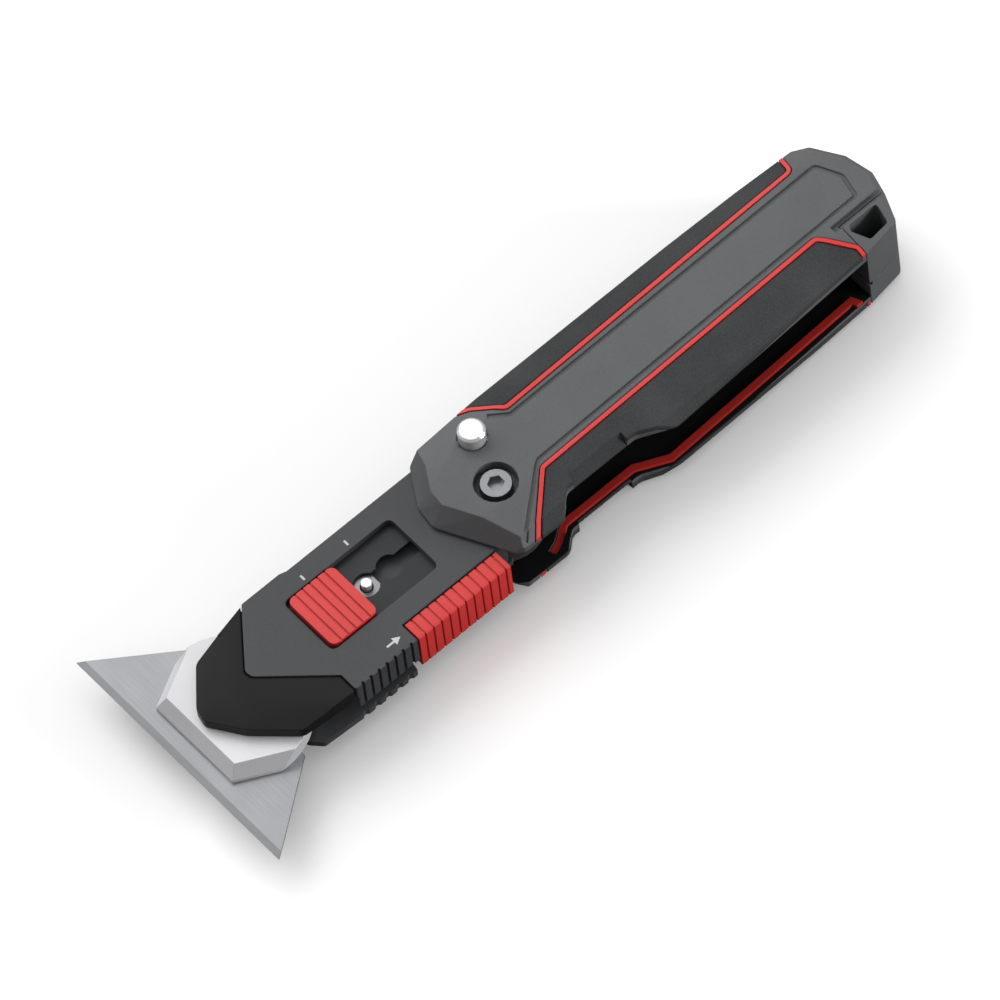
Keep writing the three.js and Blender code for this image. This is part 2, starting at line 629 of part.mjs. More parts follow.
// Grips and trims on both scales
piece('front_belly_grip', bellyGrip(), GRIP);
piece('rear_belly_grip', mirrored(bellyGrip()), GRIP);
piece('front_spine_grip', spineGrip(), GRIP);
piece('rear_spine_grip', mirrored(spineGrip()), GRIP);
piece('front_belly_trim', trim(BELLY_TRIM_LINE), RED);
piece('rear_belly_trim', mirrored(trim(BELLY_TRIM_LINE)), RED);
piece('front_spine_trim', trim(SPINE_TRIM_LINE), RED);
piece('rear_spine_trim', mirrored(trim(SPINE_TRIM_LINE)), RED);
const linerBottom = -SLOT_HALF - LINER_KEY;
const linerTop = -SLOT_HALF + LINER_HEIGHT;
const linerStrip = strip(LINER_LINE, LINER_WIDTH, linerBottom, linerTop);
piece('slot_liner', linerStrip.intersect(plate(HANDLE_OUTLINE, -HANDLE_HALF, 0)), RED);

// Tail screws
TAIL_SCREWS.forEach(([x, y], i) => {
  const bottom = -HANDLE_HALF + FIT;
  const screw = screwUp(x, y, bottom, TAIL_SCREW_HEAD_HEIGHT, TAIL_SCREW_HEAD, TAIL_SCREW_SHANK,
    TAIL_SCREW_TIP);
  piece(`tail_screw_${i + 1}`, screw, DARK_STEEL);
});

// Pivot bolt, nut and washers
const socketRadius = SOCKET_ACROSS / Math.sqrt(3);
const socketFloor = BOLT_HEAD_TOP - SOCKET_DEPTH;
const socket = post(0, 0, socketFloor, BOLT_HEAD_TOP + OVERCUT, socketRadius, socketRadius, HEXAGON);
const headRim = BOLT_HEAD_RADIUS - BOLT_CHAMFER;
const boltHead = cut(post(0, 0, BOLT_HEAD_BOTTOM, BOLT_HEAD_TOP, BOLT_HEAD_RADIUS, headRim), socket);
const barrel = post(0, 0, BARREL_TIP, BOLT_HEAD_BOTTOM, BARREL_RADIUS);
piece('pivot_bolt', join(boltHead, barrel, post(0, 0, THREAD_TIP, BARREL_TIP, THREAD_RADIUS)), STEEL);
const nutBlank = post(0, 0, -BOLT_HEAD_TOP, -BOLT_HEAD_BOTTOM, headRim, BOLT_HEAD_RADIUS);
piece('pivot_nut', cut(nutBlank, post(0, 0, THREAD_TIP - SEAT, 0, THREAD_RADIUS + SEAT)), STEEL);
const washer = cut(
  post(0, 0, WASHER_TOP - WASHER_THICKNESS, WASHER_TOP, WASHER_OUTER),
  post(0, 0, 0, FAR, WASHER_INNER),
);
piece('front_washer', washer, BRIGHT);
piece('rear_washer', mirrored(washer), BRIGHT);

// Lock button and its spring
const buttonTop = join(
  post(BUTTON_X, BUTTON_Y, BUTTON_FLANGE_BOTTOM, BUTTON_TOP - BUTTON_DOME, BUTTON_RADIUS),
  post(BUTTON_X, BUTTON_Y, BUTTON_TOP - BUTTON_DOME, BUTTON_TOP, BUTTON_RADIUS, BUTTON_RADIUS - BUTTON_DOME),
);
const buttonFlange = post(BUTTON_X, BUTTON_Y, BUTTON_FLANGE_BOTTOM, BUTTON_FLANGE_TOP, BUTTON_FLANGE_RADIUS);
const buttonNeck = post(BUTTON_X, BUTTON_Y, BUTTON_NECK_TIP, BUTTON_FLANGE_BOTTOM, BUTTON_NECK_RADIUS);
piece('lock_button', join(buttonTop, buttonFlange, buttonNeck), BRIGHT);
const lockSpringTop = BUTTON_NECK_TIP - LOCK_SPRING_WIRE - SEAT;
const lockSpringFoot = LOCK_POCKET_FLOOR + LOCK_SPRING_WIRE + SEAT;
const lockSpring = coil([BUTTON_X, BUTTON_Y, lockSpringFoot], [BUTTON_X, BUTTON_Y, lockSpringTop],
  LOCK_SPRING_RADIUS, LOCK_SPRING_WIRE, LOCK_SPRING_TURNS);
piece('lock_spring', lockSpring, STEEL);

// Spaces inside the carrier
const holderReach = HOLDER_RADIUS + FIT;
const cavityBottom = CARRIER_PARTING - OVERCUT;
const holderEndReach = holderReach + HOLDER_END_ROOM;
const holderEndX = HOLDER_PIVOT_X + SLIDE_TRAVEL;
const holderCavity = join(
  post(HOLDER_PIVOT_X, HOLDER_PIVOT_Y, cavityBottom, CAVITY_TOP, holderReach, holderReach, WIDE_ROUND_STEPS),
  post(holderEndX, HOLDER_PIVOT_Y, cavityBottom, CAVITY_TOP, holderEndReach, holderEndReach, WIDE_ROUND_STEPS),
  block(-FAR, holderEndX, HOLDER_PIVOT_Y - holderReach, HOLDER_PIVOT_Y + holderReach, cavityBottom, CAVITY_TOP),
);
const bladePocket = block(-FAR, BLADE_POCKET_BACK, -FAR, BLADE_POCKET_SPINE, cavityBottom, RIB_WALL_BOTTOM);
const channelLow = WINDOW_CENTRE_Y - CHANNEL_HALF;
const channelHigh = WINDOW_CENTRE_Y + CHANNEL_HALF;
const channel = block(CARRIER_FRONT - OVERCUT, CHANNEL_BACK, channelLow, channelHigh, CAVITY_TOP,
  ROOF_UNDERSIDE);
const tongueReach = TONGUE_HALF + FIT;
const tongueSpace = join(
  block(HOLDER_PIVOT_X, CARRIER_FRONT, HOLDER_PIVOT_Y - tongueReach, HOLDER_PIVOT_Y + tongueReach, 0,
    CARRIAGE_TOP + FIT),
  post(HOLDER_PIVOT_X, HOLDER_PIVOT_Y, 0, CARRIAGE_TOP + FIT, tongueReach),
);
const windowCorners = roundedBox(WINDOW_FRONT, WINDOW_BACK, WINDOW_CENTRE_Y, WINDOW_HALF, WINDOW_ROUND);
const window = plate(windowCorners, ROOF_UNDERSIDE - OVERCUT, CARRIER_HALF + OVERCUT);
const latchNotch = block(LATCH_NOTCH_FRONT, -SHOULDER, -FAR, LATCH_NOTCH_SIDE, -FAR, FAR);
const barPassage = block(BAR_FRONT - FIT, LATCH_NOTCH_FRONT + OVERCUT, BAR_NEAR - FIT, BAR_FAR + FIT,
  BAR_BOTTOM - FIT, BAR_TOP + FIT);
const ribSlots = Array.from({ length: RIB_COUNT }, (_, i) => {
  const x = RIB_FIRST + i * RIB_PITCH;
  return block(x, x + RIB_SLOT, -FAR, CARRIER_BELLY + RIB_SLOT_DEPTH, -FAR, FAR);
});
const carrierPilots = CARRIER_SCREWS.map(([x, y]) => {
  return post(x, y, -FAR, CARRIER_SCREW_TIP + FIT, CARRIER_SCREW_SHANK + FIT);
});
const tangBore = post(0, 0, -FAR, FAR, BARREL_RADIUS + FIT);
const tangFace = join(
  post(0, 0, TANG_HALF, FAR, TANG_FACE_RADIUS),
  post(0, 0, -FAR, -TANG_HALF, TANG_FACE_RADIUS),
);
const nosePilots = NOSE_SCREWS.map(([x, y]) => post(x, y, 0, PILOT_END, NOSE_SCREW_SHANK + FIT));

// Carrier body with its guide rail
const bodyBlank = cut(plate(BODY_OUTLINE, CARRIER_PARTING, CARRIER_HALF), latchNotch, holderCavity,
  bladePocket, barPassage, ...ribSlots);
const tang = post(0, 0, CARRIER_PARTING, CARRIER_HALF, TANG_RADIUS, TANG_RADIUS, WIDE_ROUND_STEPS);
const railBlank = block(RAIL_FRONT, RAIL_BACK, RAIL_SIDE, LATCH_NOTCH_SIDE + OVERCUT, RAIL_BOTTOM, RAIL_TOP);
const springPocket = block(SPRING_POCKET_FRONT, SPRING_POCKET_BACK, RAIL_SIDE - OVERCUT, SPRING_POCKET_SIDE,
  SPRING_POCKET_FLOOR, RAIL_TOP + OVERCUT);
const faceBlank = plate(FACE_OUTLINE, FACE_UNDERSIDE, CARRIER_HALF);
const carrierFront = cut(
  join(bodyBlank, tang, cut(railBlank, springPocket), faceBlank),
  channel, tongueSpace, window, tangBore, tangFace, ...carrierPilots, ...nosePilots,
);
const faceSpace = block(-FAR, FAR, -FAR, FAR, CAVITY_TOP + SEAT / 2, FAR);
const spacerSpace = block(-FAR, FAR, -FAR, FAR, -FAR, CAVITY_TOP - SEAT / 2);
piece('carrier_front', carrierFront.intersect(faceSpace), CARRIER_GREY);
piece('carrier_spacer', carrierFront.intersect(spacerSpace), CARRIER_GREY);

// Carrier rear plate with its scalloped belly edge
const scallops = Array.from({ length: SCALLOP_COUNT }, (_, i) => {
  return post(SCALLOP_FIRST + i * SCALLOP_PITCH, SCALLOP_Y, -FAR, 0, SCALLOP_RADIUS);
});
const rearPlateTop = -CARRIER_HALF + CARRIER_PLATE;
const carrierRecesses = CARRIER_SCREWS.map(([x, y]) => {
  return post(x, y, -FAR, -CARRIER_HALF + SEAT + CARRIER_SCREW_HEAD_HEIGHT, CARRIER_SCREW_HEAD + FIT);
});
const rearPlateBlank = join(
  plate(REAR_PLATE_OUTLINE, -CARRIER_HALF, rearPlateTop),
  post(0, 0, -CARRIER_HALF, rearPlateTop, TANG_RADIUS, TANG_RADIUS, WIDE_ROUND_STEPS),
);
const rearPlate = cut(rearPlateBlank, tangBore, tangFace, ...scallops, ...carrierPilots, ...carrierRecesses);
piece('carrier_rear', rearPlate, CARRIER_GREY);
CARRIER_SCREWS.forEach(([x, y], i) => {
  const bottom = -CARRIER_HALF + SEAT / 2;
  const screw = screwUp(x, y, bottom, CARRIER_SCREW_HEAD_HEIGHT, CARRIER_SCREW_HEAD, CARRIER_SCREW_SHANK,
    CARRIER_SCREW_TIP);
  piece(`carrier_screw_${i + 1}`, screw, DARK_STEEL);
});

// Nose cover
const faceMoat = [[0, 0], [-NOSE_GROOVE, 0], [0, -NOSE_GROOVE], [0, NOSE_GROOVE]].map(([dx, dy]) => {
  const moved = FACE_OUTLINE.map(([x, y, round]) => [x + dx, y + dy, round]);
  return plate(moved, FACE_UNDERSIDE - SEAT, CARRIER_HALF + OVERCUT);
});
const noseSlopes = wedges(NOSE_RIM, NOSE_SLOPE, NOSE_TOP - NOSE_DROP, NOSE_TOP, NOSE_SLOPE);
const noseHeads = NOSE_SCREWS.map(([x, y]) => {
  return post(x, y, 0, NOSE_BOTTOM + SEAT + NOSE_SCREW_HEAD_HEIGHT, NOSE_SCREW_HEAD + FIT);
});
const noseCover = cut(plate(NOSE_OUTLINE, NOSE_BOTTOM, NOSE_TOP), ...noseSlopes, ...faceMoat, tongueSpace,
  ...noseHeads, ...nosePilots);
piece('nose_cover', noseCover, BLACK);
NOSE_SCREWS.forEach(([x, y], i) => {
  const bottom = NOSE_BOTTOM + SEAT / 2;
  const screw = screwUp(x, y, bottom, NOSE_SCREW_HEAD_HEIGHT, NOSE_SCREW_HEAD, NOSE_SCREW_SHANK,
    NOSE_SCREW_TIP);
  piece(`nose_screw_${i + 1}`, screw, DARK_STEEL);
});

// Keyhole plate
const sideLow = channelLow + SEAT;
const sideHigh = channelHigh - SEAT;
const keyholeHalf = KEYHOLE_SLOT / 2;
const keyhole = join(
  block(KEYHOLE_FRONT, KEYHOLE_BACK, WINDOW_CENTRE_Y - keyholeHalf, WINDOW_CENTRE_Y + keyholeHalf, 0, FAR),
  ...KEYHOLE_LOBES.map((x) => post(x, WINDOW_CENTRE_Y, 0, FAR, KEYHOLE_LOBE_RADIUS)),
);
const detentBlank = block(DETENT_FRONT, DETENT_BACK, sideLow, sideHigh, DETENT_BOTTOM, DETENT_TOP);
piece('detent_plate', cut(detentBlank, keyhole), DARK_STEEL);

// Carriage with its slider, guide pin and rivet
const carriageBlank = join(
  block(CARRIAGE_FRONT, CARRIAGE_BACK, sideLow + SEAT, sideHigh - SEAT, CARRIAGE_BOTTOM, CARRIAGE_TOP),
  block(HOLDER_PIVOT_X, CARRIAGE_FRONT + OVERCUT, HOLDER_PIVOT_Y - TONGUE_HALF, HOLDER_PIVOT_Y + TONGUE_HALF,
    CARRIAGE_BOTTOM, CARRIAGE_TOP),
  post(HOLDER_PIVOT_X, HOLDER_PIVOT_Y, CARRIAGE_BOTTOM, CARRIAGE_TOP, TONGUE_HALF),
);
const rivetTop = CARRIAGE_TOP - SEAT / 3;
const carriagePlate = cut(
  carriageBlank,
  post(SHANK_X, WINDOW_CENTRE_Y, 0, FAR, SHANK_RADIUS + FIT),
  post(GUIDE_PIN_X, WINDOW_CENTRE_Y, 0, FAR, GUIDE_PIN_RADIUS + FIT),
  post(HOLDER_PIVOT_X, HOLDER_PIVOT_Y, 0, FAR, RIVET_RADIUS + FIT),
  post(HOLDER_PIVOT_X, HOLDER_PIVOT_Y, rivetTop - RIVET_HEAD_HEIGHT - SEAT, FAR, RIVET_HEAD + FIT),
);
piece('carriage_plate', carriagePlate, STEEL);
const sliderGrooves = Array.from({ length: SLIDER_GROOVES }, (_, i) => {
  const middle = SLIDER_FRONT + SLIDER_LENGTH / 2 + (i - (SLIDER_GROOVES - 1) / 2) * SLIDER_GROOVE_PITCH;
  const half = SLIDER_GROOVE_WIDTH / 2;
  return block(middle - half, middle + half, -FAR, FAR, SLIDER_TOP - SLIDER_GROOVE_DEPTH, FAR);
});
const sliderBack = SLIDER_FRONT + SLIDER_LENGTH;
const sliderCorners = roundedBox(SLIDER_FRONT, sliderBack, WINDOW_CENTRE_Y, SLIDER_HALF, SLIDER_ROUND);
const sliderBlank = plate(sliderCorners, DETENT_TOP + SEAT, SLIDER_TOP);
const sliderShank = post(SHANK_X, WINDOW_CENTRE_Y, SHANK_TIP, DETENT_TOP + OVERCUT, SHANK_RADIUS);
piece('slider_button', join(cut(sliderBlank, ...sliderGrooves), sliderShank), RED);
const pinFoot = CARRIAGE_BOTTOM + SEAT / 3;
piece('guide_pin', post(GUIDE_PIN_X, WINDOW_CENTRE_Y, pinFoot, GUIDE_PIN_TOP, GUIDE_PIN_RADIUS), BRIGHT);
const rivetFoot = HOLDER_BOTTOM + SEAT / 3;
const rivet = join(
  post(HOLDER_PIVOT_X, HOLDER_PIVOT_Y, rivetFoot, rivetTop, RIVET_RADIUS),
  post(HOLDER_PIVOT_X, HOLDER_PIVOT_Y, rivetTop - RIVET_HEAD_HEIGHT, rivetTop, RIVET_HEAD),
  post(HOLDER_PIVOT_X, HOLDER_PIVOT_Y, rivetFoot, rivetFoot + RIVET_HEAD_HEIGHT, RIVET_HEAD),
);
piece('holder_rivet', rivet, STEEL);

// Turning holder
const holderHigh = HOLDER_PIVOT_Y + HOLDER_FRONT_HALF;
const holderLow = HOLDER_PIVOT_Y - HOLDER_FRONT_HALF;
const flareRise = HOLDER_FLARE_RUN * HOLDER_FLARE;
const holderEdge = [
  [HOLDER_FRONT + HOLDER_FLARE_RUN, holderHigh + flareRise], [HOLDER_FRONT, holderHigh],
  [HOLDER_FRONT, holderLow], [HOLDER_FRONT + HOLDER_FLARE_RUN, holderLow - flareRise],
];
const holderDisc = post(HOLDER_PIVOT_X, HOLDER_PIVOT_Y, HOLDER_BOTTOM, HOLDER_TOP, HOLDER_RADIUS,
  HOLDER_RADIUS, WIDE_ROUND_STEPS);
const holderBlock = cut(
  holderDisc.intersect(plate(holderEdge, -FAR, FAR)),
  ...wedges(holderEdge, HOLDER_BEVEL, HOLDER_BOTTOM + HOLDER_LIP, HOLDER_TOP, 0),
);
const landFoot = CLAMP_TOP + SEAT / 3;
const landDisc = post(HOLDER_PIVOT_X, HOLDER_PIVOT_Y, landFoot, HOLDER_BOTTOM + OVERCUT, HOLDER_LAND_RADIUS);
const land = landDisc.intersect(block(HOLDER_LAND, FAR, -FAR, FAR, -FAR, FAR));
const clampScrewSeat = CLAMP_TOP + SEAT;
const bladeHolder = cut(
  join(holderBlock, land),
  post(HOLDER_PIVOT_X, HOLDER_PIVOT_Y, -FAR, FAR, RIVET_RADIUS + FIT),
  post(HOLDER_PIVOT_X, HOLDER_PIVOT_Y, -FAR, rivetFoot + RIVET_HEAD_HEIGHT + SEAT, RIVET_HEAD + FIT),
  post(CLAMP_SCREW_X, HOLDER_PIVOT_Y, -FAR, CLAMP_SCREW_TIP + FIT, CLAMP_SCREW_SHANK + FIT),
  post(CLAMP_SCREW_X, HOLDER_PIVOT_Y, -FAR, clampScrewSeat + SEAT, CLAMP_SCREW_HEAD + FIT),
);
piece('blade_holder', bladeHolder, SATIN);

// Blade
const bladeBack = BLADE_EDGE + BLADE_WIDTH;
const bladeTipHigh = HOLDER_PIVOT_Y + BLADE_LENGTH / 2;
const bladeTipLow = HOLDER_PIVOT_Y - BLADE_LENGTH / 2;
const bladeBottom = BLADE_TOP - BLADE_THICKNESS;
const bladeMiddle = (BLADE_TOP + bladeBottom) / 2;
const edgeTop = [BLADE_EDGE, bladeTipHigh];
const edgeLow = [BLADE_EDGE, bladeTipLow];
const backLow = [bladeBack, bladeTipLow + BLADE_END_RUN];
const backHigh = [bladeBack, bladeTipHigh - BLADE_END_RUN];
const bladeBlank = plate([edgeTop, edgeLow, backLow, backHigh], bladeBottom, BLADE_TOP);
const bladeNotches = [-BLADE_NOTCH_OFFSET, BLADE_NOTCH_OFFSET].map((offset) => {
  const middle = HOLDER_PIVOT_Y + offset;
  const half = BLADE_NOTCH_WIDTH / 2;
  return block(bladeBack - BLADE_NOTCH_DEPTH, bladeBack + OVERCUT, middle - half, middle + half, -FAR, FAR);
});
const grinds = [
  wedge(edgeTop, edgeLow, BLADE_GRIND, bladeMiddle + BLADE_EDGE_FLAT, BLADE_TOP, OVERCUT),
  wedge(edgeTop, edgeLow, BLADE_GRIND, bladeMiddle - BLADE_EDGE_FLAT, bladeBottom, OVERCUT),
];
piece('blade', cut(bladeBlank, ...grinds, ...bladeNotches), STEEL);

// Clamp under the blade
const clampBottom = CLAMP_TOP - CLAMP_THICKNESS;
const clampDisc = post(HOLDER_PIVOT_X, HOLDER_PIVOT_Y, clampBottom, CLAMP_TOP, CLAMP_RADIUS, CLAMP_RADIUS,
  WIDE_ROUND_STEPS);
const holderClamp = cut(
  clampDisc.intersect(plate(holderEdge, -FAR, FAR)).intersect(block(CLAMP_FRONT, FAR, -FAR, FAR, -FAR, FAR)),
  post(CLAMP_SCREW_X, HOLDER_PIVOT_Y, -FAR, 0, CLAMP_SCREW_HEAD + FIT),
);
piece('holder_clamp', holderClamp, STEEL);
const clampScrewFoot = clampBottom + SEAT / 3;
const clampScrew = screwUp(CLAMP_SCREW_X, HOLDER_PIVOT_Y, clampScrewFoot, clampScrewSeat - clampScrewFoot,
  CLAMP_SCREW_HEAD, CLAMP_SCREW_SHANK, CLAMP_SCREW_TIP);
piece('clamp_screw', clampScrew, DARK_STEEL);

// Side slide, a channel round the guide rail, with a lug for its spring
const latchRibs = Array.from({ length: LATCH_RIBS }, (_, i) => {
  const x = LATCH_FRONT + LATCH_RIB_START + LATCH_RIB_PITCH * i;
  return join(
    block(x, x + LATCH_RIB_SLOT, -FAR, LATCH_FLANGE + OVERCUT, LATCH_TOP - LATCH_RIB_DEPTH, FAR),
    block(x, x + LATCH_RIB_SLOT, -FAR, CARRIER_BELLY + LATCH_RIB_DEPTH, -FAR, FAR),
  );
});
const latchSection = [
  [CARRIER_BELLY, LATCH_BOTTOM, LATCH_ROUND], [LATCH_FLANGE, LATCH_BOTTOM],
  [LATCH_FLANGE, LATCH_INNER_BOTTOM], [CARRIER_BELLY + LATCH_WALL, LATCH_INNER_BOTTOM],
  [CARRIER_BELLY + LATCH_WALL, LATCH_INNER_TOP],
  [LATCH_FLANGE, LATCH_INNER_TOP], [LATCH_FLANGE, LATCH_TOP], [CARRIER_BELLY, LATCH_TOP, LATCH_ROUND],
];
const lugNear = CARRIER_BELLY + LATCH_WALL - SEAT;
const lugFront = SPRING_POCKET_FRONT + FIT;
const lug = block(lugFront, lugFront + LUG_LENGTH, lugNear, SPRING_POCKET_SIDE - FIT,
  SPRING_POCKET_FLOOR + FIT, LATCH_INNER_TOP + OVERCUT);
const pinStub = block(BAR_PIN_X - BAR_PIN_RADIUS, BAR_PIN_X + BAR_PIN_RADIUS, lugNear,
  BAR_NEAR + BAR_PIN_DEPTH, BAR_BOTTOM + FIT, BAR_TOP - FIT);
piece('rotate_slide', join(cut(bar(latchSection, LATCH_FRONT, LATCH_BACK), ...latchRibs), lug, pinStub), RED);

// Latch bar carried by the side slide
const pinHole = block(BAR_PIN_X - BAR_PIN_RADIUS - SEAT, BAR_PIN_X + BAR_PIN_RADIUS + SEAT,
  BAR_NEAR - OVERCUT, BAR_NEAR + BAR_PIN_DEPTH + SEAT, -FAR, FAR);
const barBlank = block(BAR_FRONT, BAR_BACK, BAR_NEAR, BAR_FAR, BAR_BOTTOM, BAR_TOP);
piece('latch_bar', cut(barBlank, pinHole), CARRIER_GREY);
const latchSpringY = (RAIL_SIDE + SPRING_POCKET_SIDE) / 2;
const latchSpringZ = SPRING_POCKET_FLOOR + FIT + LATCH_SPRING_RADIUS + LATCH_SPRING_WIRE;
const latchSpringFront = lugFront + LUG_LENGTH + LATCH_SPRING_WIRE + SEAT;
const latchSpringBack = SPRING_POCKET_BACK - LATCH_SPRING_WIRE - SEAT;
const latchSpring = coil([latchSpringFront, latchSpringY, latchSpringZ],
  [latchSpringBack, latchSpringY, latchSpringZ], LATCH_SPRING_RADIUS, LATCH_SPRING_WIRE, LATCH_SPRING_TURNS);
piece('latch_spring', latchSpring, STEEL);

// Shift so the origin is the bottom centre of the whole knife
const box = new THREE.Box3().setFromObject(root);
const centre = box.getCenter(new THREE.Vector3());
root.children.forEach((item) => item.geometry.translate(-centre.x, -centre.y, -box.min.z));

export default root;
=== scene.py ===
"""Studio look of a folding scraper utility knife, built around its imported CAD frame."""

import logging
import math
from dataclasses import dataclass, field
from enum import Enum
from typing import Any

import bmesh
import bpy
from mathutils import Matrix, Vector


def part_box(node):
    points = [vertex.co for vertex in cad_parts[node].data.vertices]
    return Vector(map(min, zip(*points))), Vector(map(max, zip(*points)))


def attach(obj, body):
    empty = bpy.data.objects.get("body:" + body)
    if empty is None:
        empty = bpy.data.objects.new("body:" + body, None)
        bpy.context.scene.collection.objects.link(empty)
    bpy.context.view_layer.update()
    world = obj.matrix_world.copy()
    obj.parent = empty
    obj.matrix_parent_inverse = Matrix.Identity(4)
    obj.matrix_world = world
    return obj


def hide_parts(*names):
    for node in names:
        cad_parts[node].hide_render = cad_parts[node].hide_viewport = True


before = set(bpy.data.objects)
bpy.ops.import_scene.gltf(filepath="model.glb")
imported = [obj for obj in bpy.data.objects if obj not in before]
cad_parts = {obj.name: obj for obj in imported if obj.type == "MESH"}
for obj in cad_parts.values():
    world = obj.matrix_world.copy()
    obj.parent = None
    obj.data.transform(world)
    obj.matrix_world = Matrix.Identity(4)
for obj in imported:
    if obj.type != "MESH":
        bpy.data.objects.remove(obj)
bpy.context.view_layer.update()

log = logging.getLogger("scraper_knife")
MM = 0.001
# The CAD origin is the bottom centre of the opened knife, and the fold pivot lies here in that frame
PIVOT = Vector((-9.4085, -2.6, 11.2)) * MM

# The sRGB standard's curve: a straight line up to the knee and a power above it
SRGB_KNEE = 0.04045
SRGB_SLOPE = 12.92
SRGB_LIFT = 0.055
SRGB_POWER = 2.4

# The pattern that every finish shares: a fine grain laid over broad patches
BRUSH_STRETCH = 40
FINE_DETAIL = 3.0
FINE_ROUGHNESS = 0.55
PATCH_WIDTH = 14 * MM
PATCH_DETAIL = 2.0
PATCH_SHARE = 0.5
SHADE_POSITION = 0.3
COLOUR_POSITION = 0.62
EDGE_SAMPLES = 4
RELIEF_DEPTH = 0.5

# How the CAD triangles are welded and joined, and what the name of a finished copy ends with
FLAT_ANGLE = math.radians(0.4)
MERGE_DISTANCE = 0.002 * MM
FINISHED = "_finished"


class Surface(Enum):
    """How a finish was made: a brushed one has long lines, the others an even grain."""

    MOULDED = "moulded"
    GRAINED = "grained"
    PAINTED = "painted"
    BRUSHED = "brushed"
    BLASTED = "blasted"
    POLISHED = "polished"


class Slot(Enum):
    """Material slots of the record that the pieces take their finish from."""

    SHELL = "shell"
    CARRIER = "carrier"
    GRIP = "grip"
    RED = "red"
    BLACK = "black"
    SATIN_METAL = "satin_metal"
    STEEL = "steel"
    BRIGHT_STEEL = "bright_steel"
    DARK_STEEL = "dark_steel"


def linear(hex_colour: str) -> tuple[float, float, float, float]:
    """Turn an sRGB hex colour into linear light.

    Args:
        hex_colour: Six hex digits, such as "5c5d5f".

    Returns:
        Linear red, green, blue and an alpha of one.
    """
    lit = []
    for start in (0, 2, 4):
        channel = int(hex_colour[start:start + 2], 16) / 255
        if channel <= SRGB_KNEE:
            lit.append(channel / SRGB_SLOPE)
        else:
            lit.append(((channel + SRGB_LIFT) / (1 + SRGB_LIFT)) ** SRGB_POWER)
    return lit[0], lit[1], lit[2], 1.0


def add_node(
    tree: bpy.types.NodeTree,
    kind: str,
    settings: dict[str, Any] | None = None,
    links: dict[str, bpy.types.NodeSocket] | None = None,
) -> bpy.types.Node:
    """Add a shader node with its settings and links.

    Args:
        tree: Node tree that receives the node.
        kind: Blender's name of the node type.
        settings: Input sockets or properties with their values.
        links: Input sockets with the outputs that feed them.

    Returns:
        The new node.
    """
    node = tree.nodes.new(kind)
    for name, value in (settings or {}).items():
        if name in node.inputs:
            node.inputs[name].default_value = value
        else:
            setattr(node, name, value)
    for name, source in (links or {}).items():
        tree.links.new(source, node.inputs[name])
    return node


def linked_object(name: str, data: bpy.types.ID) -> bpy.types.Object:
    """Make an object and link it into the scene.

    Args:
        name: Name of the object.
        data: Its mesh, lamp or camera.

    Returns:
        The new object, at the origin.
    """
    made = bpy.data.objects.new(name, data)
    bpy.context.scene.collection.objects.link(made)
    return made


def mesh_object(name: str, mesh: bpy.types.Mesh, work: bmesh.types.BMesh) -> bpy.types.Object:
    """Write a worked shape into its mesh and make an object of it.

    Args:
        name: Name of the object.
        mesh: Mesh that receives the shape.
        work: The worked shape, which is freed.

    Returns:
        The new object, at the origin.
    """
    work.to_mesh(mesh)
    work.free()
    return linked_object(name, mesh)


